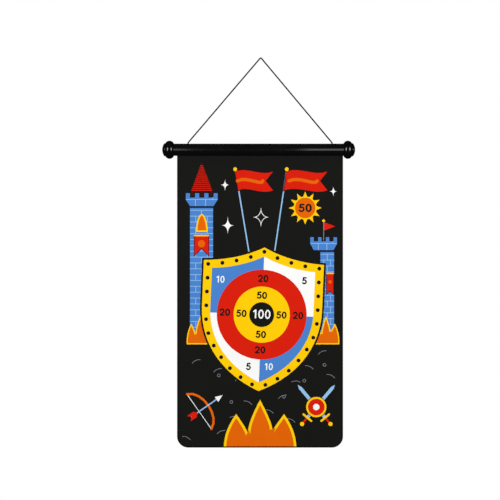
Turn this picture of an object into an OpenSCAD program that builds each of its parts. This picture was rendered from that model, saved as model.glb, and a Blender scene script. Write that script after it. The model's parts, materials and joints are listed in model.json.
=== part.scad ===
// Roll-up magnetic dart target: a flexible printed sheet that hangs from a slotted header tube on a cord.
// +X runs along the tube, +Z is up, the printed face looks towards -Y.
// The origin is the middle of the header tube's axis.

/* [Header tube] */
// Length of the tube between the end knobs
tube_length = 368; // [320:1:420]
// Outside diameter of the tube
tube_d = 26.5; // [24:0.5:32]
// Wall thickness of the tube
tube_wall = 1.8; // [1.4:0.1:2.4]
// Width of the slot along the tube's underside
slot_width = 2.4; // [2:0.1:3]

/* [End knobs] */
// Outside diameter of the ball-shaped bead
bead_d = 39.5; // [36:0.5:46]
// Radius of the bead's rounded profile
bead_profile_r = 10.05; // [9.8:0.05:10.6]
// Diameter of the domed button on the end
button_d = 28.4; // [24:0.2:30]
// How far the button's dome bulges out
dome_rise = 4.6; // [2:0.1:6]
// Length of the spigot pressed into the tube
spigot_length = 18; // [12:1:18]

/* [Target sheet] */
// Width of the sheet
sheet_width = 360; // [320:1:362]
// Height of the sheet below the tube
sheet_drop = 633; // [600:1:660]
// Thickness of the magnetic sheet
sheet_t = 1.1; // [0.8:0.1:1.4]
// Radius of the two bottom corners
corner_r = 24; // [10:1:30]
// How far the sheet sits to the right of the tube's middle
sheet_shift = 3; // [0:0.5:3]
// Diameter of the rod inside the sheet's top hem
hem_rod_d = 6; // [4:0.5:7]

/* [Hanging cord] */
// Diameter of the cord
cord_d = 3; // [1.5:0.1:3.2]
// Distance between the two cord holes
cord_span = 312.5; // [290:0.5:318]
// Height of the hanging point above the tube's axis
cord_apex_h = 199; // [150:1:240]
// Sideways offset of the hanging point from the middle of the cord
cord_apex_shift = 1.5; // [-4:0.5:4]
// Radius of the cord's bend over the nail it hangs on
cord_bend_r = 2; // [1.6:0.1:6]
// Diameter of the holes in the tube
cord_hole_d = 3.8; // [3.8:0.1:4.4]
// Diameter of the stopper knots inside the tube
knot_d = 6.2; // [5.6:0.2:6.6]

/* [Roll-up] */
// Number of strips that the bending length of the sheet is divided into
strip_count = 26; // [26:1:26]
// Strips in one turn of the roll
strips_per_turn = 9; // [9:1:9]
// Distance between two layers of the loosely rolled sheet
roll_pitch = 5.5; // [5:0.1:6]
// Distance from the tube's axis down to the first bend line
first_bend = 49; // [48:0.5:54]
// Slit between neighbouring strips, closed on the real sheet
bend_slit = 0.1; // [0.06:0.01:0.2]

/* [Hidden] */
$fn = 64;
small = 0.05;                 // clearance between neighbouring fixed pieces
tube_r = tube_d / 2;
bore_r = tube_r - tube_wall;
tube_end = tube_length / 2;
bead_x = bead_profile_r * 0.93;   // bead centre, outboard of the tube's end
bead_ring_r = bead_d / 2 - bead_profile_r;
button_x = 2 * bead_x;            // inner face of the button
button_rim = 2;
sheet_x = [sheet_shift - sheet_width / 2, sheet_shift + sheet_width / 2];
sheet_bottom = -tube_r - sheet_drop;
hem_half = tube_end - spigot_length - sheet_shift - 4;
hem_z = -bore_r + hem_rod_d / 2 + sheet_t + 2 * small;
cord_r = cord_d / 2;
cord_end_r = 1.1 * cord_r;              // rounded ends, and the flattened bend over the nail
leg_overlap = 0.5;                      // how far a leg runs into the bend
cord_pivot_z = tube_r + cord_end_r + 0.3;   // the cord swings about this height, just clear of the tube
cord_x = [sheet_shift - cord_span / 2, sheet_shift + cord_span / 2];
bend_centre = [sheet_shift + cord_apex_shift, 0, cord_apex_h - cord_bend_r];
knot_z = bore_r - knot_d / 2 - 0.2;

// The strips shorten towards the bottom edge, so that equal bends wind the sheet into an even spiral.
// A strip at radius r of the spiral is side_ratio * r long.
side_ratio = 2 * tan(180 / strips_per_turn);
radius_step = roll_pitch / strips_per_turn;
bending_length = -first_bend - sheet_bottom;
core_r = bending_length / side_ratio / strip_count - radius_step * (strip_count - 1) / 2;
outer_r = core_r + radius_step * (strip_count - 1);

// From the swing axis at x to the centre of the bend, and the leg that runs up to touch the bend
function leg_reach(x) = norm([bend_centre.x - x, bend_centre.z - cord_pivot_z]);
function leg_angle(x) = atan2(bend_centre.z - cord_pivot_z, abs(bend_centre.x - x))
    + asin(cord_bend_r / leg_reach(x));
function leg_length(x) = sqrt(pow(leg_reach(x), 2) - pow(cord_bend_r, 2));

// Length of the first n strips together, and the height of the bend line under strip n
function strips_length(n) = side_ratio * (n * outer_r - radius_step * n * (n - 1) / 2);
function bend_z(n) = -first_bend - strips_length(n);
function strip_name(k) = str("sheet_strip_", k < 10 ? "0" : "", k);

// Lays a shape that is drawn in X and Y into the X-Z plane, centred on the sheet's thickness.
module as_sheet() {
    translate([0, sheet_t / 2, 0])
        rotate([90, 0, 0])
            linear_extrude(sheet_t)
                children();
}

// Runs a cross-section drawn in Y and Z along X, from x0 to x1.
module along_x(x0, x1) {
    translate([x0, 0, 0])
        rotate([90, 0, 90])
            linear_extrude(x1 - x0)
                children();
}

// Turns a profile, drawn as radius and outboard distance, about the tube's axis at its right end.
module turned_on_axis() {
    translate([tube_end, 0, 0])
        rotate([0, 90, 0])
            rotate_extrude($fn = 96)
                children();
}

// Extruded tube, open along its underside, with two cord holes on top
module header_tube() {
    color([0.03, 0.03, 0.03])
        difference() {
            along_x(-tube_end, tube_end)
                difference() {
                    circle(r = tube_r, $fn = 96);
                    circle(r = bore_r, $fn = 96);
                    translate([-slot_width / 2, -tube_r - 1])
                        square([slot_width, tube_r]);
                }
            for (x = cord_x)
                translate([x, 0, 0])
                    cylinder(h = tube_r + 1, d = cord_hole_d);
        }
}

// Turned end knob: bead, domed button and the spigot that fills the tube's end
module end_knob() {
    dome_r = (pow(button_d / 2, 2) + pow(dome_rise, 2)) / (2 * dome_rise);
    color([0.03, 0.03, 0.03]) {
        turned_on_axis()
            intersection() {
                translate([bead_ring_r, bead_x])
                    circle(r = bead_profile_r, $fn = 96);
                translate([0, small])
                    square([bead_d, button_x - small]);
            }
        turned_on_axis()
            translate([0, -spigot_length])
                square([bore_r - small, spigot_length + button_x]);
        turned_on_axis()
            translate([0, button_x - 1])
                square([button_d / 2, button_rim + 1]);
        turned_on_axis()
            intersection() {
                translate([0, button_x + button_rim + dome_rise - dome_r])
                    circle(r = dome_r, $fn = 180);
                translate([0, button_x + button_rim - 1])
                    square([button_d / 2, dome_rise + 2]);
            }
    }
}

module end_knob_right() {
    end_knob();
}

module end_knob_left() {
    mirror([1, 0, 0])
        end_knob();
}

// Rod that keeps the hem from pulling out through the slot
module hem_rod() {
    color([0.55, 0.55, 0.55])
        along_x(sheet_shift - hem_half, sheet_shift + hem_half)
            translate([0, hem_z])
                circle(d = hem_rod_d);
}

// Top edge of the sheet: looped round the rod inside the tube, and hanging through the slot
module sheet_hem() {
    neck_top = -bore_r - small;
    loop_r = hem_rod_d / 2 + small;
    color([0.1, 0.1, 0.1]) {
        along_x(sheet_shift - hem_half, sheet_shift + hem_half)
            difference() {
                union() {
                    translate([0, hem_z])
                        circle(r = loop_r + sheet_t);
                    translate([-sheet_t / 2, neck_top - 1])
                        square([sheet_t, hem_z - neck_top]);
                }
                translate([0, hem_z])
                    circle(r = loop_r);
            }
        as_sheet()
            translate([sheet_x[0], -first_bend + bend_slit / 2])
                square([sheet_width, neck_top + first_bend - bend_slit / 2]);
    }
}

// Outline of the hanging sheet, with its rounded bottom corners
module sheet_outline() {
    union() {
        translate([sheet_x[0], sheet_bottom + corner_r])
            square([sheet_width, sheet_drop]);
        translate([sheet_x[0] + corner_r, sheet_bottom])
            square([sheet_width - 2 * corner_r, corner_r + 1]);
        for (x = [sheet_x[0] + corner_r, sheet_x[1] - corner_r])
            translate([x, sheet_bottom + corner_r])
                circle(r = corner_r, $fn = 96);
    }
}

// Strip k of the sheet, counted from the top
module sheet_strip(k) {
    top = bend_z(k - 1) - bend_slit / 2;
    bottom = k == strip_count ? sheet_bottom : bend_z(k) + bend_slit / 2;
    shade = 0.1 + 0.02 * (k % 2);
    color([shade, shade, shade])
        as_sheet()
            intersection() {
                sheet_outline();
                translate([sheet_x[0] - 1, bottom])
                    square([sheet_width + 2, top - bottom]);
            }
}

// One straight leg of the cord, from its swing axis at x up to the bend over the hanging point
module cord_leg(x) {
    lean = sign(bend_centre.x - x) * (90 - leg_angle(x));
    translate([x, 0, cord_pivot_z]) {
        sphere(r = cord_end_r);
        rotate([0, lean, 0])
            cylinder(h = leg_length(x) + leg_overlap, r = cord_r);
    }
}

// Cord from hole to hole over the hanging point, with round ends on the swing axis
module hanging_cord() {
    left = leg_angle(cord_x[0]);
    right = leg_angle(cord_x[1]);
    color([0.05, 0.05, 0.05]) {
        for (x = cord_x)
            cord_leg(x);
        translate(bend_centre)
            rotate([90, 0, 0])
                rotate([0, 0, 90 - right])
                    rotate_extrude(angle = left + right)
                        translate([cord_bend_r, 0])
                            circle(r = cord_end_r);
    }
}

// End of the cord in its hole, with the stopper knot inside the tube
module cord_tail(x) {
    color([0.05, 0.05, 0.05]) {
        translate([x, 0, knot_z])
            sphere(d = knot_d);
        translate([x, 0, knot_z])
            cylinder(h = cord_pivot_z - cord_end_r - 0.1 - knot_z, r = cord_r);
    }
}

module cord_tail_left() {
    cord_tail(cord_x[0]);
}

module cord_tail_right() {
    cord_tail(cord_x[1]);
}

header_tube();
end_knob_left();
end_knob_right();
hem_rod();
sheet_hem();
hanging_cord();
cord_tail_left();
cord_tail_right();
for (k = [1:strip_count])
    sheet_strip(k);
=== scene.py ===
"""The looks of the roll-up magnetic dart target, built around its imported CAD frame.

The print is drawn in millimetres on the sheet: the first coordinate runs to the right from the
sheet's middle, the second one up from its bottom edge.
"""

import json
import math

import bpy
import numpy as np
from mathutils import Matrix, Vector, geometry


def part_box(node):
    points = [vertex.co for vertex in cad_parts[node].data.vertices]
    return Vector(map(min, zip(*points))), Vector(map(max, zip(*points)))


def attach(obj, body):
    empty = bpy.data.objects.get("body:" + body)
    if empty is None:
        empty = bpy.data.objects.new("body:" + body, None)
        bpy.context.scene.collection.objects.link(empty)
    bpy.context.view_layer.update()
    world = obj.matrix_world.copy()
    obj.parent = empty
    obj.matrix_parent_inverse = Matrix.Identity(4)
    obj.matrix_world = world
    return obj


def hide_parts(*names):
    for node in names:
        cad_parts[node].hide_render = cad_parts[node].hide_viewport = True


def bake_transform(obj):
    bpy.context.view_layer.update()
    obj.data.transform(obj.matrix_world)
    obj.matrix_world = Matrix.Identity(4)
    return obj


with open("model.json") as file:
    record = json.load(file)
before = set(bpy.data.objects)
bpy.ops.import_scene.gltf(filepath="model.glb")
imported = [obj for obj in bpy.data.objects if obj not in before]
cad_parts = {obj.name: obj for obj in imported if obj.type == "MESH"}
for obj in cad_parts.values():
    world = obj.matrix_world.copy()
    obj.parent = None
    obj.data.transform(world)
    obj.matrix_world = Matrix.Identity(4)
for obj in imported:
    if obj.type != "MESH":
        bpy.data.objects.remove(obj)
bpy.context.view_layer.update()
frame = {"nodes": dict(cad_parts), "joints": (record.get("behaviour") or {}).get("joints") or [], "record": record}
JOINTS = {j["name"]: j for j in frame["joints"]}
MM = 0.001
TURN = 360

# ---------------------------------------------------------------- sizes taken from the frame, in mm
STRIPS = sorted(n for n in frame["nodes"] if n.startswith("sheet_strip_"))


def box_mm(node):
    low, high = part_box(node)
    return low / MM, high / MM


first_low, first_high = box_mm(STRIPS[0])
SHEET_MID = (first_low.x + first_high.x) / 2
SHEET_W = first_high.x - first_low.x
SHEET_T = first_high.y - first_low.y
SHEET_BOTTOM = box_mm(STRIPS[-1])[0].z
TUBE_R = box_mm("header_tube")[1].z
TUBE_END = box_mm("header_tube")[1].x
HEM_LOW, HEM_HIGH = box_mm("hem_rod")
CORNER_R = 24
RIM = 2.8
EDGE_ROUND = 0.25
HALF_W = SHEET_W / 2
SLOT_REACH = 1.7       # how far the sheet's top runs up into the tube's slot
SHEET_TOP = -TUBE_R + SLOT_REACH - SHEET_BOTTOM


# ---------------------------------------------------------------- plane shapes
def arc(centre, radius, start, end, points=0):
    """Points on a circle or ellipse, from one angle to another in degrees."""
    rx, ry = radius if isinstance(radius, tuple) else (radius, radius)
    points = points or max(4, int(abs(end - start) / 10) + 1)
    angles = np.radians(np.linspace(start, end, points))
    return [(centre[0] + rx * math.cos(t), centre[1] + ry * math.sin(t)) for t in angles]


def disc(centre, radius, points=0):
    return arc(centre, radius, 0, TURN, points)[:-1]


def curve(start, *spans, steps=9):
    """A path of straight (1 point), quadratic (2 points) and cubic (3 points) spans."""
    path = [start]
    for span in spans:
        knots = np.array([path[-1], *span], float)
        if len(knots) == 2:
            path.append(span[0])
            continue
        for t in np.linspace(0, 1, steps)[1:]:
            k = knots
            while len(k) > 1:
                k = k[:-1] * (1 - t) + k[1:] * t
            path.append(tuple(k[0]))
    return path


def moved(path, at=(0, 0), turn=0, size=1):
    """The path, sized, turned in degrees and then moved."""
    c, s = math.cos(math.radians(turn)), math.sin(math.radians(turn))
    return [(at[0] + size * (c * x - s * y), at[1] + size * (s * x + c * y)) for x, y in path]


BLUNT_MITRE, SHARP_MITRE = 0.35, 0.12


def enclosed_area(points):
    """The area inside a closed path, negative if it runs clockwise."""
    following = np.roll(points, -1, 0)
    return (points[:, 0] * following[:, 1] - following[:, 0] * points[:, 1]).sum() / 2


def normals(path, closed, mitre=BLUNT_MITRE):
    """Outward normals at the points of a path that runs counter-clockwise, longer at corners.

    A small mitre keeps corners sharp, a large one blunts them.
    """
    p = np.array(path, float)
    ahead = np.roll(p, -1, 0) - p
    if not closed:
        ahead[-1] = ahead[-2]
    ahead /= np.linalg.norm(ahead, axis=1)[:, None] + 1e-12
    behind = np.roll(ahead, 1, 0)
    if not closed:
        behind[0] = ahead[0]
    a, b = [np.stack([d[:, 1], -d[:, 0]], 1) for d in (ahead, behind)]
    return (a + b) / np.maximum(1 + (a * b).sum(1), mitre)[:, None]


def grown(path, by):
    """A closed path moved outwards, or inwards if by is negative."""
    p = np.array(path, float)
    mitre = BLUNT_MITRE if by > 0 else SHARP_MITRE
    return p + normals(p, True, mitre) * (by if enclosed_area(p) >= 0 else -by)


def stroke(path, width):
    """The outline of a line with round ends."""
    p = np.array(path, float)
    n = normals(p, False) * width / 2
    heading = [math.degrees(math.atan2(*(b - a)[::-1])) for a, b in ((p[0], p[1]), (p[-2], p[-1]))]
    start = arc(p[0], width / 2, heading[0] + 90, heading[0] + 270, 6)
    end = arc(p[-1], width / 2, heading[1] - 90, heading[1] + 90, 6)
    return [*start, *(p + n)[1:-1], *end, *(p - n)[1:-1][::-1]]


# ---------------------------------------------------------------- the print
PRINT = []      # (colour, loops, holes), lowest first


def counter_clockwise(path):
    p = np.array(path, float)
    return p if enclosed_area(p) > 0 else p[::-1]


def paint(colour, *loops, holes=()):
    PRINT.append((colour, [counter_clockwise(p) for p in loops], [counter_clockwise(p) for p in holes]))


def line(colour, path, width):
    paint(colour, stroke(path, width))


def outlined(colour, path, edge=2.8):
    """A shape with a dark outline, so that it stands out from what lies under it."""
    paint("field", grown(path, edge), path)
    paint(colour, path)


def ring(colour, centre, outer, inner):
    paint(colour, disc(centre, outer), holes=[disc(centre, inner)])


DIGITS = {
    "0": (0.62, []),
    "1": (0.42, [[(0.05, 0.75), (0.25, 0.91)], [(0.25, 0.91), (0.25, 0.09)]]),
    "2": (0.60, [[*arc((0.29, 0.66), (0.22, 0.25), 165, -35), (0.09, 0.09)], [(0.09, 0.09), (0.52, 0.09)]]),
    "5": (0.58, [[(0.49, 0.91), (0.17, 0.91)], [(0.17, 0.91), (0.12, 0.54)],
                 arc((0.27, 0.345), (0.235, 0.255), 128, -145)]),
}
DIGIT_GAP = 0.09
DIGIT_LINES = {"field": 0.21, "white": 0.155}      # white lines look wider than dark ones


def number(text, centre, height, colour, turn=0, stretch=1.1):
    """A score number made of round-ended lines, centred."""
    total = sum(DIGITS[d][0] for d in text) + DIGIT_GAP * (len(text) - 1)
    x = -total / 2
    for d in text:
        width, lines = DIGITS[d]

        def place(path):
            return moved([(stretch * (x + px), py - 0.5) for px, py in path], centre, turn, height)

        if d == "0":
            middle, half = (width / 2, 0.5), DIGIT_LINES[colour] / 2
            outer = disc(middle, (0.22 + half, 0.41 + half), 29)
            inner = disc(middle, (0.22 - half, 0.41 - half), 29)
            paint(colour, place(outer), holes=[place(inner)])
        for path in lines:
            line(colour, place(path), DIGIT_LINES[colour] * height)
        x += width + DIGIT_GAP


def star(centre, half_w, half_h, waist=0.16):
    """A four-pointed star with hollow sides."""
    tips = [(half_w, 0), (0, half_h), (-half_w, 0), (0, -half_h)]
    spans = []
    for i in range(4):
        a, b = tips[i], tips[(i + 1) % 4]
        middle = (waist * (a[0] + b[0]) / 2, waist * (a[1] + b[1]) / 2)
        spans.append((middle, b))
    return moved(curve(tips[0], *spans, steps=6)[:-1], centre)


def flame(start, *spans, edge):
    """An orange shape with a yellow edge."""
    path = curve(start, *spans)
    paint("yellow", path)
    paint("orange", grown(path, -edge))


JOINT_W = 1.3
COURSE_H = 12.7
CROWN_H, LEDGE_H = 28, 14


def bricks(left, right, foot, top):
    """Mortar lines of a brick wall, from the top course down."""
    half = (right - left) / 2
    course, v = 0, top - 5
    while v > foot:
        line("mortar", [(left + 0.6, v), (right - 0.6, v)], JOINT_W)
        u = left + half * (0.5 if course % 2 else 1)
        while u < right - 2:
            line("mortar", [(u, max(v - COURSE_H, foot)), (u, v)], JOINT_W)
            u += half
        v -= COURSE_H
        course += 1


def tower(left, right, foot, top, crown_l, crown_r, merlon):
    """A brick tower with a battlement of four teeth, each merlon high."""
    paint("blue", [(left, foot), (right, foot), (right, top), (left, top)])
    bricks(left, right, foot, top)
    width = crown_r - crown_l
    neck = top + 4
    ledge, crown_top = neck + LEDGE_H, neck + CROWN_H
    tooth, gap = 0.13 * width, 0.16 * width
    shape = [(crown_l + tooth, neck), (crown_r - tooth, neck), (crown_r, ledge)]
    for i in range(4):
        right_side = crown_r - i * (tooth + gap)
        left_side = right_side - tooth
        shape += [(right_side, crown_top), (left_side, crown_top)]
        if i < 3:
            shape += [(left_side, crown_top - merlon), (left_side - gap, crown_top - merlon)]
    shape.append((crown_l, ledge))
    outlined("blue", shape)
    line("mortar", [(crown_l + 1, ledge + 0.5), (crown_r - 1, ledge + 0.5)], JOINT_W)
    for part in (0.3, 0.62):
        u = crown_l + part * width
        line("mortar", [(u, neck + 1), (u, ledge + 0.5)], JOINT_W)
    last = crown_l + 0.85 * width
    line("mortar", [(last, ledge + 0.5), (last, crown_top - merlon)], JOINT_W)


def sheet_outline(inset):
    """The sheet's outline with its rounded bottom corners, moved inwards."""
    r, w = CORNER_R - inset, HALF_W - inset
    corner = HALF_W - CORNER_R
    return [*arc((-corner, CORNER_R), r, 180, 270, 12), *arc((corner, CORNER_R), r, 270, 360, 12),
            (w, SHEET_TOP + 1), (-w, SHEET_TOP + 1)]


FIELD = sheet_outline(RIM)     # the printed field, inside the sheet's plain rim
FIRE_FALL, FIRE_VALLEY, FIRE_BULGE, FIRE_WAIST = 0.8, 0.4, 0.1, 0.5


def fire(middle, foot, half_width, tallest, edge, tongues=3):
    """A row of evenly spaced pointed flames, the middle one the tallest."""
    pitch = 2 * half_width / tongues
    left = middle - half_width
    spans = []
    for i in range(tongues):
        height = tallest * (1 - FIRE_FALL * abs(i - (tongues - 1) / 2) / tongues)
        waist = foot + FIRE_WAIST * height
        valley = 0 if i == tongues - 1 else FIRE_VALLEY * height
        spans.append(((left - FIRE_BULGE * pitch, waist), (left + pitch / 2, foot + height)))
        spans.append(((left + (1 + FIRE_BULGE) * pitch, waist), (left + pitch, foot + valley)))
        left += pitch
    flame((middle - half_width, foot), *spans, edge=edge)


SWELL = 11


def flag(foot, top, width):
    """A swallow-tailed flag with a stripe, flying from a leaning pole with a ball on top."""
    line("mortar", [foot, top], 2.8)
    hoist = (top[0], top[1] - 5)
    share = 0.2         # of the pole's length, that the flag takes up
    low = (hoist[0] + share * (foot[0] - top[0]), hoist[1] - share * (top[1] - foot[1]))
    middle = (hoist[1] + low[1]) / 2
    fly = top[0] + width
    rise_u, dip_u = top[0] + 0.3 * width, fly - 0.3 * width

    def wave(level, end):
        """The two bends of an edge that swells up and then down, and its end."""
        return (rise_u, level + SWELL), (dip_u, level - SWELL), end

    rise, dip, _ = wave(low[1], low)
    cloth = curve(hoist, wave(hoist[1], (fly, hoist[1])), ((fly - 16, middle),), ((fly, low[1]),),
                  (dip, rise, low))
    outlined("red", cloth, 1.8)
    line("orange", curve((top[0] + 5, middle), wave(middle, (fly - 22, middle))), 7)
    paint("yellow", disc(top, 4.2))


def banner(middle, top, width, drop):
    """A hanging swallow-tailed banner with a round spot."""
    half = width / 2
    cloth = [(-half, 0), (-half, -drop), (0, half - drop), (half, -drop), (half, 0)]
    outlined("red", moved(cloth, (middle, top)), 1.8)
    line("yellow", [(middle - half, top), (middle + half, top)], 3)
    paint("orange", disc((middle, top - 0.42 * drop), 0.26 * width))


def sun(centre, radius, rays=12):
    ray = [(-4.4, radius - 1), (4.4, radius - 1), (0, radius + 11)]
    for i in range(rays):
        paint("yellow", moved(ray, centre, i * TURN / rays))
    paint("yellow", disc(centre, radius))
    paint("orange", disc(centre, radius - 2.8))


def sword(middle, turn):
    """A sword that crosses its middle point."""
    outlined("mortar", moved([(-3.6, -28), (3.6, -28), (3.6, 54), (0, 63), (-3.6, 54)], middle, turn), 1.4)
    line("red", moved([(0, -32), (0, -44)], middle, turn), 4.4)
    line("yellow", moved([(-11, -30), (11, -30)], middle, turn), 4.4)
    paint("yellow", moved(disc((0, -48), 4.6), middle, turn))


def bow_and_arrow(middle, turn):
    """A bow with its string straight, and an arrow lying across it."""
    line("white", moved([(-10, -46), (-10, 46)], middle, turn), 1.3)
    line("orange", moved(curve((-10, -46), ((22, -34), (22, 34), (-10, 46))), middle, turn), 4.8)
    line("mortar", moved([(-30, 0), (38, 0)], middle, turn), 2.6)
    paint("white", moved([(36, -6.5), (52, 0), (36, 6.5)], middle, turn))
    for side in (-1, 1):
        paint("red", moved([(-14, 0), (-21, 7 * side), (-37, 7 * side), (-30, 0)], middle, turn))


# two plain brick towers, one with a striped roof and a window, one with a pennant
ROOF_U, ROOF_TOP, ROOF_FOOT, ROOF_HALF, ROOF_PITCH = -126.5, 620, 546, 27, 4.4
paint("dark_red", [(ROOF_U - ROOF_HALF, ROOF_FOOT), (ROOF_U + ROOF_HALF, ROOF_FOOT), (ROOF_U, ROOF_TOP)])
for i in range(2, 15):
    half = ROOF_HALF * i * ROOF_PITCH / (ROOF_TOP - ROOF_FOOT) - 1
    level = ROOF_TOP - i * ROOF_PITCH
    line("red", [(ROOF_U - half, level), (ROOF_U + half, level)], 2.2)
tower(-152, -102, 246, 520, -161, -92, 9.5)
tower(131, 160.5, 240, 424.5, 109, 167, 9)
window = ((-139, 490), (-133, 507), (-126.5, 507)), ((-120, 507), (-113.5, 490), (-113.5, 468))
flame((-139, 468), *window, edge=3.4)
line("dust", [(138, 450), (138, 490)], 1.6)
paint("red", [(139, 489), (163, 480), (139, 471)])
paint("yellow", disc((138, 492), 3))
banner(-127, 460, 30, 42)
banner(152, 378, 14, 44)
for middle in (-130, 143):
    fire(middle, 224, 29, 62, 2.6)

# two flags behind the shield, the sun with a score, stars
flag((-20, 400), (-54, 604), 82)
flag((28, 400), (58, 604), 88)
SUN = (98, 520)
sun(SUN, 25)
number("50", SUN, 17.5, "field", stretch=1.25)
for centre, half_w, half_h in (((-76, 570), 9, 13), ((-70, 482), 13, 19.5), ((159, 556), 8, 11)):
    paint("white", star(centre, half_w, half_h, 0))
hollow = star((2, 500), 17, 21, 0.1)
paint("white", hollow)
paint("field", grown(hollow, -1.2))

# the ground: marks and pebbles, scattered evenly but clear of the weapons
BOW, ARMS = (-124, 84), (122, 88)
WEAPON_REACH = 62
GOLDEN = 0.618      # steps of the golden ratio spread points evenly


def is_clear(place):
    return min(math.dist(place, BOW), math.dist(place, ARMS)) > WEAPON_REACH


for i in range(30):
    place = (-160 + 320 * (GOLDEN * i % 1), 20 + 6.4 * i)
    if is_clear(place):
        line("dust", moved(arc((0, -17), 20, 62, 118, 8), place, 24 * (i % 3 - 1)), 1.1)
for i in range(16):
    place = (-150 + 300 * ((1 - GOLDEN) * i % 1), 30 + 11.5 * i)
    if is_clear(place):
        ring("dust", place, 3.6, 2.5)

# the shield, in its own frame: it leans a little to the right
TARGET, LEAN = (3.6, 288.5), -2.45
SHIELD_HALF_W, FACE_HALF_W = 130.5, 112
half_shield = curve((0, 146), ((40, 124.5), (88, 115), (SHIELD_HALF_W, 113.5)), ((SHIELD_HALF_W, 12),),
                    ((SHIELD_HALF_W - 1, -63), (87, -129), (0, -166)), steps=16)
half_face = curve((0, 126), ((40, 106), (82, 98), (FACE_HALF_W, 97)), ((FACE_HALF_W, 8),),
                  ((FACE_HALF_W - 0.5, -53), (77, -111), (0, -147)), steps=16)


def on_shield(path):
    return moved(path, TARGET, LEAN)


def quarter(side, upper):
    """The part of the shield's face on one side of its middle line, above or below the target's middle."""
    edge = [(side * x, y) for x, y in half_face if (y >= 0) == upper]
    corner = [(side * FACE_HALF_W, 0), (0, 0)]
    return on_shield(edge + corner if upper else corner[::-1] + edge)


shield = [(-x, y) for x, y in half_shield[::-1]][:-1] + half_shield[:-1]
outlined("yellow", on_shield(shield), 4)
paint("blue", quarter(-1, True), quarter(1, False))
paint("white", quarter(1, True), quarter(-1, False))
RIVETS = [(0, 136.5), (29, 124), (59.5, 115), (90, 108.7), (120.6, 105), (120.8, 75), (121, 45), (121, 15),
          (120.3, -15), (114, -45), (101, -71.5), (84, -96), (64, -119), (40, -137.5), (14.5, -152)]
for x, y in RIVETS:
    for side in ((1, -1) if x else (1,)):
        paint("field", on_shield(disc((side * x, y), 4.3, 19)))

BULL_R, MIDDLE_R, OUTER_R = 27, 61, 97.5
for colour, radius in (("red", OUTER_R), ("yellow", MIDDLE_R), ("field", BULL_R)):
    paint(colour, disc(TARGET, radius, 73))
number("100", (TARGET[0] + 0.5, TARGET[1] + 1), 20.5, "white", LEAN, stretch=1)
SCORES = [("50", -1.2, 42, "field"), ("50", -44, 1, "field"), ("50", 0, -43, "field"), ("50", 43, 1, "field"),
          ("20", 0, 78.5, "field"), ("20", -80, 2, "field"), ("20", 0, -76.5, "field"),
          ("20", 79, 1.5, "field"), ("10", -92.3, 73, "white"), ("5", 89.5, 77.5, "field"),
          ("5", -24, -113.5, "field"), ("10", 20.5, -112, "white")]
for text, x, y, colour in SCORES:
    number(text, on_shield([(x, y)])[0], 15.4, colour, LEAN, stretch=1 if colour == "white" else 1.1)

# the fire at the bottom edge, and a bow and arrow, crossed swords and a round shield beside it
fire(0, -12, 78, 116, 5.4)
bow_and_arrow(BOW, 35)
for turn in (40, -40):
    sword(ARMS, turn)
outlined("yellow", disc(ARMS, 22), 1.4)
for colour, radius in (("red", 18), ("white", 7)):
    paint(colour, disc(ARMS, radius))


# ---------------------------------------------------------------- materials
def linear(*eight_bit):
    return tuple((c / 255 / 12.92) if c < 11 else ((c / 255 + 0.055) / 1.055) ** 2.4 for c in eight_bit)


def surface(name, colour, rough, grain_mm, bump, mottle, wear=0.0, specular=0.5):
    """A procedural finish: mottled colour, fine grain in the surface and in its roughness, worn edges."""
    m = bpy.data.materials.new(name)
    m.use_nodes = True
    nodes, links = m.node_tree.nodes, m.node_tree.links
    shader = nodes["Principled BSDF"]
    m.diffuse_color = (*colour, 1)
    where = nodes.new("ShaderNodeTexCoord")

    def noise(size_mm, detail):
        n = nodes.new("ShaderNodeTexNoise")
        n.inputs["Scale"].default_value = 1 / (size_mm * MM)
        n.inputs["Detail"].default_value = detail
        links.new(where.outputs["Object"], n.inputs["Vector"])
        return n.outputs["Fac"]

    def spread(source, low, high):
        r = nodes.new("ShaderNodeMapRange")
        r.inputs["From Min"].default_value = 0.3
        r.inputs["From Max"].default_value = 0.7
        r.inputs["To Min"].default_value = low
        r.inputs["To Max"].default_value = high
        links.new(source, r.inputs["Value"])
        return r.outputs["Result"]

    cloudy, grain = noise(34, 3), noise(grain_mm, 2)
    tone = nodes.new("ShaderNodeHueSaturation")
    tone.inputs["Color"].default_value = (*colour, 1)
    links.new(spread(cloudy, 1 - mottle, 1 + mottle), tone.inputs["Value"])
    paintwork = tone.outputs["Color"]
    if wear:
        edge = nodes.new("ShaderNodeNewGeometry")
        pointed = nodes.new("ShaderNodeMapRange")
        pointed.inputs["From Min"].default_value = 0.64
        pointed.inputs["From Max"].default_value = 0.80
        pointed.inputs["To Max"].default_value = wear
        links.new(edge.outputs["Pointiness"], pointed.inputs["Value"])
        mix = nodes.new("ShaderNodeMix")
        mix.data_type = "RGBA"
        links.new(pointed.outputs["Result"], mix.inputs["Factor"])
        links.new(paintwork, mix.inputs["A"])
        mix.inputs["B"].default_value = (*[min(1, c * 2 + 0.03) for c in colour], 1)
        paintwork = mix.outputs["Result"]
    links.new(paintwork, shader.inputs["Base Color"])
    swing = min(0.05, rough * 0.3)
    links.new(spread(grain, rough - swing, rough + swing), shader.inputs["Roughness"])
    shader.inputs["Specular IOR Level"].default_value = specular
    raised = nodes.new("ShaderNodeBump")
    raised.inputs["Strength"].default_value = bump
    raised.inputs["Distance"].default_value = 0.1 * MM
    links.new(grain, raised.inputs["Height"])
    links.new(raised.outputs["Normal"], shader.inputs["Normal"])
    return m


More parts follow.
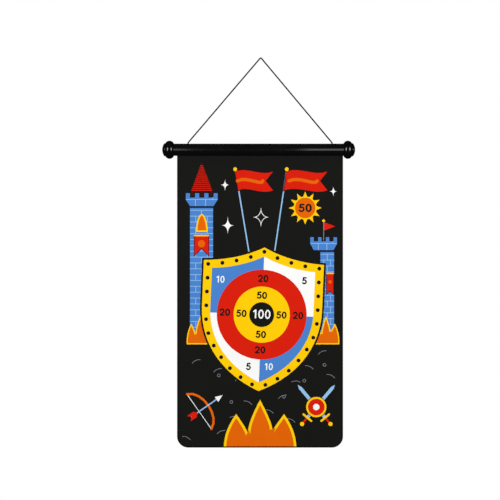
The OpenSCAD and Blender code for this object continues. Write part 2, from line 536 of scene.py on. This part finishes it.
PRINT_COLOURS = {
    "rim": linear(4, 4, 4),
    "field": linear(21, 21, 19),
    "red": linear(216, 29, 6),
    "dark_red": linear(74, 8, 5),
    "orange": linear(226, 100, 1),
    "yellow": linear(255, 204, 1),
    "blue": linear(73, 130, 204),
    "mortar": linear(150, 192, 232),
    "white": linear(250, 250, 249),
    "dust": linear(128, 128, 142),
}
INKS = list(PRINT_COLOURS)
INK_MATERIALS = [
    surface("ink_" + name, colour, rough=0.5, grain_mm=0.8, bump=0.12, mottle=0.02, specular=0.08)
    for name, colour in PRINT_COLOURS.items()
]
SHEET_BACK = surface("magnetic_back", linear(44, 43, 42), rough=0.55, grain_mm=1.6, bump=0.5, mottle=0.15,
                     specular=0.4)
GLOSS_BLACK = surface("gloss_black", linear(8, 8, 8), rough=0.07, grain_mm=2.5, bump=0.008, mottle=0.2,
                      wear=0.25)
TURNED_BLACK = surface("turned_black", linear(8, 8, 8), rough=0.18, grain_mm=3, bump=0.03, mottle=0.2,
                       wear=0.25)
CORD_BLACK = surface("cord_black", linear(11, 11, 11), rough=0.75, grain_mm=0.4, bump=0.8, mottle=0.25,
                     specular=0.2)
ROD_GREY = surface("rod_grey", linear(150, 150, 148), rough=0.45, grain_mm=1.5, bump=0.2, mottle=0.08)


# ---------------------------------------------------------------- the printed sheet
def winds_round(points, loop):
    """Which of the points the closed loop winds round counter-clockwise."""
    out = np.zeros(len(points), bool)
    near = np.nonzero(((points >= loop.min(0)) & (points <= loop.max(0))).all(1))[0]
    if not len(near):
        return out
    x, y = points[near, 0][:, None], points[near, 1][:, None]
    a, b = loop, np.roll(loop, -1, 0)
    side = (b[:, 0] - a[:, 0]) * (y - a[:, 1]) - (x - a[:, 0]) * (b[:, 1] - a[:, 1])
    up = (a[:, 1] <= y) & (b[:, 1] > y) & (side > 0)
    down = (a[:, 1] > y) & (b[:, 1] <= y) & (side < 0)
    out[near] = up.sum(1) > down.sum(1)
    return out


def triangulate(loops, lines, kind):
    """Triangles whose edges follow every loop and line."""
    points, edges = [], []
    for loop in loops:
        first = len(points)
        points += [Vector((x, y)) for x, y in loop]
        edges += [(first + i, first + (i + 1) % len(loop)) for i in range(len(loop))]
    for a, b in lines:
        edges.append((len(points), len(points) + 1))
        points += [Vector(a), Vector(b)]
    verts, _, faces, *_ = geometry.delaunay_2d_cdt(points, edges, [], kind, 1e-5, False)
    return np.array([tuple(v) for v in verts]), np.array([f for f in faces if len(f) == 3])


def up_sheet(z_mm):
    return z_mm - SHEET_BOTTOM


# Bend lines from the top down, as heights on the sheet. A chunk of the sheet runs from the middle of
# one strip to the middle of the next, so that each bend line lies in one chunk.
BODIES = ["header"] + [n.replace("sheet_", "") for n in STRIPS]
LEVELS = []
for node in STRIPS:
    low, high = box_mm(node)
    LEVELS.append(up_sheet((low.z + high.z) / 2))
first_bend = up_sheet(first_high.z)
NECK_MIDDLE = 2 * first_bend - LEVELS[0]
CUTS = [SHEET_TOP, NECK_MIDDLE, *LEVELS, 0.0]
BENDS = [up_sheet(JOINTS[name]["pos_m"][2] / MM)
         for name in ["roll_up"] + ["roll_bend_%02d" % k for k in range(2, len(STRIPS) + 1)]]
BEND_SHARE = 0.3        # share of a chunk's height, round its bend line, that is split into close rows; the rest has none
BEND_ROWS = 7


def bend_zone(k):
    """The heights round chunk k's bend line, between which its rows lie close together."""
    reach = BEND_SHARE * (CUTS[k] - CUTS[k + 1]) / 2
    return BENDS[k - 1] + reach, BENDS[k - 1] - reach


rows = []
for k in range(1, len(CUTS) - 2):
    rows += [CUTS[k], *np.linspace(*bend_zone(k), BEND_ROWS)]
rows.append(CUTS[-2])
outline, chamfer = sheet_outline(0), sheet_outline(EDGE_ROUND)
for loop in (outline, chamfer):
    for i in (-1, -2):
        loop[i] = (loop[i][0], SHEET_TOP)
row_lines = [((-HALF_W - 5, v), (HALF_W + 5, v)) for v in rows]
verts, tris = triangulate([outline, chamfer, FIELD] + [p for _, a, b in PRINT for p in a + b], row_lines, 0)
middles = verts[tris].mean(1)
keep = winds_round(middles, np.array(outline))
tris, middles = tris[keep], middles[keep]
area2 = np.cross(verts[tris[:, 1]] - verts[tris[:, 0]], verts[tris[:, 2]] - verts[tris[:, 0]])
tris[area2 < 0] = tris[area2 < 0][:, ::-1]

ink = np.full(len(tris), INKS.index("field"))
for colour, loops, holes in PRINT:
    covered = np.zeros(len(tris), bool)
    for loop in loops:
        covered |= winds_round(middles, loop)
    for loop in holes:
        covered &= ~winds_round(middles, loop)
    ink[covered] = INKS.index(colour)
ink[~winds_round(middles, np.array(FIELD))] = INKS.index("rim")

on_edge = np.abs(verts[:, 0]) > HALF_W - 1e-3
on_edge |= verts[:, 1] < 1e-3
corner_at = np.stack([np.sign(verts[:, 0]) * (HALF_W - CORNER_R), np.full(len(verts), CORNER_R)], 1)
in_corner = (np.abs(verts[:, 0]) > HALF_W - CORNER_R) & (verts[:, 1] < CORNER_R)
on_edge |= in_corner & (np.linalg.norm(verts - corner_at, axis=1) > CORNER_R - 0.1)


SHARP_EDGE = 30
SAME_ROW = 1e-3


def mesh_object(name, points, faces, materials, which, smooth):
    """A mesh from points in mm in the part's frame."""
    mesh = bpy.data.meshes.new(name)
    mesh.from_pydata([tuple(np.array(p) * MM) for p in points], [], [tuple(int(i) for i in f) for f in faces])
    for m in materials:
        mesh.materials.append(m)
    mesh.polygons.foreach_set("material_index", np.array(which, np.int32))
    mesh.polygons.foreach_set("use_smooth", np.array(smooth, bool))
    mesh.update()
    mesh.set_sharp_from_angle(angle=math.radians(SHARP_EDGE))
    o = bpy.data.objects.new(name, mesh)
    bpy.context.scene.collection.objects.link(o)
    return o


def slab(name, picked, upper, lower):
    """The sheet between two heights: a printed front, a plain back in bands, and the edge between them."""
    front = tris[picked]
    used, front = np.unique(front, return_inverse=True)
    front = front.reshape(-1, 3)
    flat = verts[used]
    edges = {(a, b) for t in front for a, b in ((t[0], t[1]), (t[1], t[2]), (t[2], t[0]))}
    border = [(a, b) for a, b in edges if (b, a) not in edges]
    half = SHEET_T / 2
    depth = np.where(on_edge[used], -half + EDGE_ROUND, -half)
    place = [(SHEET_MID + u, y, SHEET_BOTTOM + v) for (u, v), y in zip(flat, depth)]
    around = sorted({i for e in border for i in e})
    back_of = {i: len(flat) + j for j, i in enumerate(around)}
    place += [(SHEET_MID + flat[i][0], half, SHEET_BOTTOM + flat[i][1]) for i in around]
    back = []
    levels = [upper, *[v for v in rows if lower < v < upper], lower]
    for high, low in zip(levels, levels[1:]):
        band = [i for i in around if low - SAME_ROW < flat[i][1] < high + SAME_ROW]
        centre = flat[band].mean(0)
        band.sort(key=lambda i: math.atan2(*(flat[i] - centre)))
        back.append([back_of[i] for i in band])
    walls = [(a, back_of[a], back_of[b], b) for a, b in border]
    faces = [*front, *back, *walls]
    which = [*ink[picked], *[len(INKS)] * len(back), *[INKS.index("rim")] * len(walls)]
    smooth = [True] * (len(front) + len(back)) + [False] * len(walls)
    return mesh_object(name, place, faces, INK_MATERIALS + [SHEET_BACK], which, smooth)


chunk_of = np.searchsorted(-np.array(CUTS[1:-1]), -middles[:, 1])
for k in range(len(CUTS) - 1):
    piece = slab("sheet_%02d" % k, np.nonzero(chunk_of == k)[0], CUTS[k], CUTS[k + 1])
    piece.visible_glossy = False        # keeps the print's colours out of the black gloss above it
    if k == 0:
        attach(piece, "header")
    elif k == len(CUTS) - 2:
        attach(piece, BODIES[-1])
    else:
        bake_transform(piece)
        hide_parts(STRIPS[k - 1])


# ---------------------------------------------------------------- turned and swept pieces
def swept(name, rings, closed, material):
    """A skin through rings of points, joined end to end if closed, and else capped at both ends."""
    count, size = len(rings), len(rings[0])
    points = [p for r in rings for p in r]
    faces = []
    for i in range(count if closed else count - 1):
        for j in range(size):
            a, b = i * size + j, i * size + (j + 1) % size
            c, d = [((i + 1) % count) * size + (j + s) % size for s in (1, 0)]
            faces.append((a, b, c, d))
    sides = len(faces)
    if not closed:
        faces += [tuple(range(size))[::-1], tuple(range((count - 1) * size, count * size))]
    shading = [True] * sides + [False] * (len(faces) - sides)
    return mesh_object(name, points, faces, [material], [0] * len(faces), shading)


# The hem: the sheet's top edge looped round its rod
LOOP_R = (HEM_HIGH.z - HEM_LOW.z) / 2 + 0.05
HEM_Z = (HEM_HIGH.z + HEM_LOW.z) / 2
HEM_SIDES = 48


def hem_ring(x, radius):
    angles = np.radians(np.linspace(0, TURN, HEM_SIDES + 1)[:-1])
    return [(x, radius * math.sin(t), HEM_Z + radius * math.cos(t)) for t in angles]


OUTER_LOOP_R = LOOP_R + SHEET_T
hem_rings = [hem_ring(HEM_LOW.x, OUTER_LOOP_R), hem_ring(HEM_HIGH.x, OUTER_LOOP_R),
             hem_ring(HEM_HIGH.x, LOOP_R), hem_ring(HEM_LOW.x, LOOP_R)]
hem = swept("sheet_hem_loop", hem_rings, True, SHEET_BACK)
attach(hem, "header")
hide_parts("sheet_hem")


# End knobs: a turned bead with a domed button
BEAD_R, BEAD_RING, BUTTON_R, BUTTON_RIM = 10.05, 9.7, 14.2, 2
KNOB_STEPS = 144
knob_low, knob_high = box_mm("end_knob_right")
BEAD_X = BEAD_R * 0.93
SPIGOT_R = TUBE_R - 1.85


def knob_profile():
    """Distance outboard of the tube's end, and radius, from the spigot's tip to the top of the dome."""
    spigot = knob_low.x - TUBE_END
    path = [(spigot, 0), (spigot, SPIGOT_R - 1), (spigot + 1, SPIGOT_R), (0.1, SPIGOT_R)]
    for a in np.linspace(158.4, 24.8, 44):
        t = math.radians(a)
        path.append((BEAD_X + BEAD_R * math.cos(t), BEAD_RING + BEAD_R * math.sin(t)))
    groove = 2 * BEAD_X - 0.15
    path += [(groove, BUTTON_R - 0.9), (groove + 0.35, BUTTON_R - 0.25), (groove + 0.8, BUTTON_R)]
    rim, top = 2 * BEAD_X + BUTTON_RIM, knob_high.x - TUBE_END
    rise = top - rim
    dome = (BUTTON_R ** 2 + rise ** 2) / (2 * rise)
    path += [(rim - 0.7, BUTTON_R), (rim - 0.25, BUTTON_R - 0.12), (rim + 0.05, BUTTON_R - 0.4)]
    for r in np.linspace(BUTTON_R - 0.9, 0, 16):
        path.append((top - dome + math.sqrt(dome ** 2 - r ** 2), r))
    return path


def knob(name, side, node):
    path = knob_profile()
    points, faces = [], []
    for x, r in path[1:-1]:
        for j in range(KNOB_STEPS):
            t = math.radians(TURN * j / KNOB_STEPS)
            points.append((side * (TUBE_END + x), r * math.sin(t), r * math.cos(t)))
    for i in range(len(path) - 3):
        for j in range(KNOB_STEPS):
            k = (j + 1) % KNOB_STEPS
            a, b = i * KNOB_STEPS, (i + 1) * KNOB_STEPS
            faces.append((a + j, a + k, b + k, b + j))
    for ring_start, (x, _), flip in ((0, path[0], True), ((len(path) - 3) * KNOB_STEPS, path[-1], False)):
        points.append((side * (TUBE_END + x), 0, 0))
        for j in range(KNOB_STEPS):
            k = (j + 1) % KNOB_STEPS
            pair = (ring_start + k, ring_start + j) if flip else (ring_start + j, ring_start + k)
            faces.append((*pair, len(points) - 1))
    if side > 0:
        faces = [f[::-1] for f in faces]
    o = mesh_object(name, points, faces, [TURNED_BLACK], [0] * len(faces), [True] * len(faces))
    o.data.set_sharp_from_angle(angle=math.radians(50))
    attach(o, "header")
    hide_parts(node)
    return o


knob("knob_right", 1, "end_knob_right")
knob("knob_left", -1, "end_knob_left")

# Header tube and hem rod keep their CAD shape
for node, material in (("header_tube", GLOSS_BLACK), ("hem_rod", ROD_GREY)):
    data = frame["nodes"][node].data
    data.materials.clear()
    data.materials.append(material)

# The cord: one three-strand rope from knot to knot
cord_low, cord_high = box_mm("hanging_cord")
CORD_R, BEND_R = (cord_high.y - cord_low.y) / 2, 2
PIVOT_Z = JOINTS["cord_swing"]["pos_m"][2] / MM
HOLES = (cord_low.x + CORD_R, cord_high.x - CORD_R)
HANG_X = next(m for m in frame["record"]["mounts"] if m["name"] == "hanging_point")["pos_m"][0] / MM
APEX = Vector((HANG_X, 0, cord_high.z - CORD_R - BEND_R))
TAIL_LOW, TAIL_HIGH = box_mm("cord_tail_left")
KNOT_Z = TAIL_LOW.z + (TAIL_HIGH.x - TAIL_LOW.x) / 2


def knot(centre, size):
    """The path of an overhand knot, from its tail to its top."""
    path = []
    for t in np.linspace(0.35, 2 * math.pi + 0.9, 60):
        path.append(Vector((centre.x + size * (math.sin(t) + 1.6 * math.sin(2 * t)) / 2.6,
                            centre.y + size * (math.cos(t) - 1.6 * math.cos(2 * t)) / 2.6,
                            centre.z - size * math.sin(3 * t) / 2.2)))
    return path


def leg(x):
    """From the hole up to where the leg touches the bend at the apex."""
    foot = Vector((x, 0, PIVOT_Z))
    reach = (APEX - foot).length
    rise = math.atan2(APEX.z - foot.z, abs(APEX.x - x)) + math.asin(BEND_R / reach)
    length = math.sqrt(reach ** 2 - BEND_R ** 2)
    side = 1 if APEX.x > x else -1
    touch = foot + Vector((side * math.cos(rise), 0, math.sin(rise))) * length
    return foot, touch, rise


def resampled(path, step):
    """Points along a path, close together and evenly spaced."""
    p = np.array([tuple(v) for v in path])
    along = np.r_[0, np.cumsum(np.linalg.norm(np.diff(p, axis=0), axis=1))]
    at = np.linspace(0, along[-1], int(along[-1] / step) + 1)
    return np.stack([np.interp(at, along, p[:, i]) for i in range(3)], 1), at


foot_l, touch_l, rise_l = leg(HOLES[0])
foot_r, touch_r, rise_r = leg(HOLES[1])
IN_HOLE, AT_MOUTH, MOUTH_BEND = 1.2, 0.4, 0.1      # how the cord bends over the rim of its hole
LEG_START = 0.006


def cord_end(foot, touch, inwards):
    """From the knot up through the hole to the start of the straight leg."""
    return [Vector((foot.x, 0, KNOT_Z)), foot - Vector((0, 0, IN_HOLE)),
            foot + Vector((inwards * MOUTH_BEND, 0, -AT_MOUTH)), foot + (touch - foot) * LEG_START]


over = [APEX + Vector((math.cos(t), 0, math.sin(t))) * BEND_R
        for t in np.linspace(math.pi / 2 + rise_l, math.pi / 2 - rise_r, 12)]
cord_path = cord_end(foot_l, touch_l, 1) + over + cord_end(foot_r, touch_r, -1)[::-1]
line_points, along = resampled(cord_path, 0.9)
STRANDS, LAY, CORD_SIDES = 3, 5.5, 15
KNOT_SIZE, KNOT_STRAND_R, KNOT_SIDES = 2.2, 1.2, 10
ahead = np.gradient(line_points, axis=0)
ahead /= np.linalg.norm(ahead, axis=1)[:, None]
rings = []
for p, d, s in zip(line_points, ahead, along):
    across = np.array((0.0, 1.0, 0.0))
    other = np.cross(d, across)
    ring_points = []
    for j in range(CORD_SIDES):
        t = 2 * math.pi * j / CORD_SIDES
        r = CORD_R * (0.9 + 0.1 * math.cos(STRANDS * (t - 2 * math.pi * s / LAY)))
        ring_points.append(p + r * (math.cos(t) * across + math.sin(t) * other))
    rings.append(ring_points)
rope = swept("cord", rings, False, CORD_BLACK)
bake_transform(rope)
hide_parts("hanging_cord", "cord_tail_left", "cord_tail_right")
for name, x in (("knot_left", HOLES[0]), ("knot_right", HOLES[1])):
    path, _ = resampled(knot(Vector((x, 0, KNOT_Z)), KNOT_SIZE), 0.35)
    d = np.gradient(path, axis=0)
    d /= np.linalg.norm(d, axis=1)[:, None]
    rings = []
    for p, t in zip(path, d):
        a = np.cross(t, (0.3, 0.2, 0.93))
        a /= np.linalg.norm(a)
        b = np.cross(t, a)
        angles = np.linspace(0, 2 * math.pi, KNOT_SIDES + 1)[:-1]
        rings.append([p + KNOT_STRAND_R * (math.cos(q) * a + math.sin(q) * b) for q in angles])
    o = swept(name, rings, False, CORD_BLACK)
    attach(o, "header")

# ---------------------------------------------------------------- studio
scene = bpy.context.scene
scene.view_settings.view_transform = "Standard"
VIEW_WIDTH, VIEW_CENTRE, VIEW_DISTANCE = 1085, (-18.8, -217.5), 3500
FLOOR_Z, FLOOR_R = -1150, 2400

world = bpy.data.worlds.new("studio")
scene.world = world
world.use_nodes = True
nodes, links = world.node_tree.nodes, world.node_tree.links
nodes.clear()
seen = nodes.new("ShaderNodeLightPath")


def ambient(strength):
    light = nodes.new("ShaderNodeBackground")
    light.inputs["Strength"].default_value = strength
    light.inputs["Color"].default_value = (1, 1, 1, 1)
    return light.outputs[0]


def mixed(ray, otherwise, if_ray):
    mix = nodes.new("ShaderNodeMixShader")
    links.new(seen.outputs[ray], mix.inputs[0])
    links.new(otherwise, mix.inputs[1])
    links.new(if_ray, mix.inputs[2])
    return mix.outputs[0]


# white behind the object, dim light on it, and dark surroundings for its gloss to mirror
sky = mixed("Is Camera Ray", mixed("Is Glossy Ray", ambient(0.12), ambient(0.012)), ambient(1.0))
links.new(sky, nodes.new("ShaderNodeOutputWorld").inputs[0])

floor_mesh = bpy.data.meshes.new("floor")
floor_ring = [(u * MM, v * MM, FLOOR_Z * MM) for u, v in disc((0, 0), FLOOR_R, 97)]
floor_mesh.from_pydata(floor_ring, [], [tuple(range(len(floor_ring)))])
floor = bpy.data.objects.new("floor", floor_mesh)
scene.collection.objects.link(floor)
floor_material = surface("floor_paper", (0.86, 0.86, 0.86), rough=0.8, grain_mm=3, bump=0.2, mottle=0.01,
                         specular=0.1)
floor_shader = floor_material.node_tree.nodes["Principled BSDF"]
floor_shader.inputs["Emission Color"].default_value = (1, 1, 1, 1)
floor_shader.inputs["Emission Strength"].default_value = 0.5
floor_mesh.materials.append(floor_material)
floor.visible_glossy = False
floor.visible_diffuse = False


def softbox(name, at, aim, width, height, watts, mirrored=True):
    data = bpy.data.lights.new(name, "AREA")
    data.shape = "RECTANGLE"
    data.size, data.size_y = width, height
    data.energy = watts
    o = bpy.data.objects.new(name, data)
    scene.collection.objects.link(o)
    o.location = at
    o.rotation_euler = (Vector(aim) - Vector(at)).to_track_quat("-Z", "Y").to_euler()
    o.visible_camera = False
    o.visible_glossy = mirrored
    return o


MIDDLE = (0, 0, -0.25)
END_Z, END_HEIGHT = -VIEW_CENTRE[1] * MM - 0.28, 2      # mirrored to the camera at the tube's mid-height
softbox("key_left", (-2.6, -2.4, 0.3), MIDDLE, 1.2, 1.8, 84)
softbox("key_right", (2.6, -2.4, 0.3), MIDDLE, 1.2, 1.8, 84)
softbox("top", (0, -0.8, 2.6), MIDDLE, 1.6, 1.2, 25, mirrored=False)
softbox("back_fill", (0.8, 3.0, 1.2), MIDDLE, 2.0, 1.5, 90, mirrored=False)

# Narrow boxes beside the camera, which only the tube mirrors: they light up its two ends
tube_only = bpy.data.collections.new("tube_only")
tube_only.objects.link(frame["nodes"]["header_tube"])
END_Y = -3.4
RIGHT_ENDS = [(0.21, 13), (0.235, 13), (0.26, 13), (0.35, 23), (0.40, 23)]     # inner end and watts per metre
LEFT_ENDS = [(0.29, 8), (0.36, 45), (0.37, 45)]
for side, ends, outer_end in ((1, RIGHT_ENDS, 0.78), (-1, LEFT_ENDS, 0.62)):
    for inner_end, watts in ends:
        width = outer_end - inner_end
        middle = side * (inner_end + outer_end) / 2
        at, aim = (middle, END_Y, END_Z), (middle, 0, END_Z)
        box = softbox("end_light", at, aim, width, END_HEIGHT, watts * width)
        box.light_linking.receiver_collection = tube_only

camera = bpy.data.objects.new("camera", bpy.data.cameras.new("camera"))
scene.collection.objects.link(camera)
camera.location = (VIEW_CENTRE[0] * MM, -VIEW_DISTANCE * MM, VIEW_CENTRE[1] * MM)
camera.rotation_euler = (math.radians(90), 0, 0)
camera.data.sensor_width = 36
camera.data.lens = 36 * VIEW_DISTANCE / VIEW_WIDTH
camera.data.clip_end = 50
scene.camera = camera
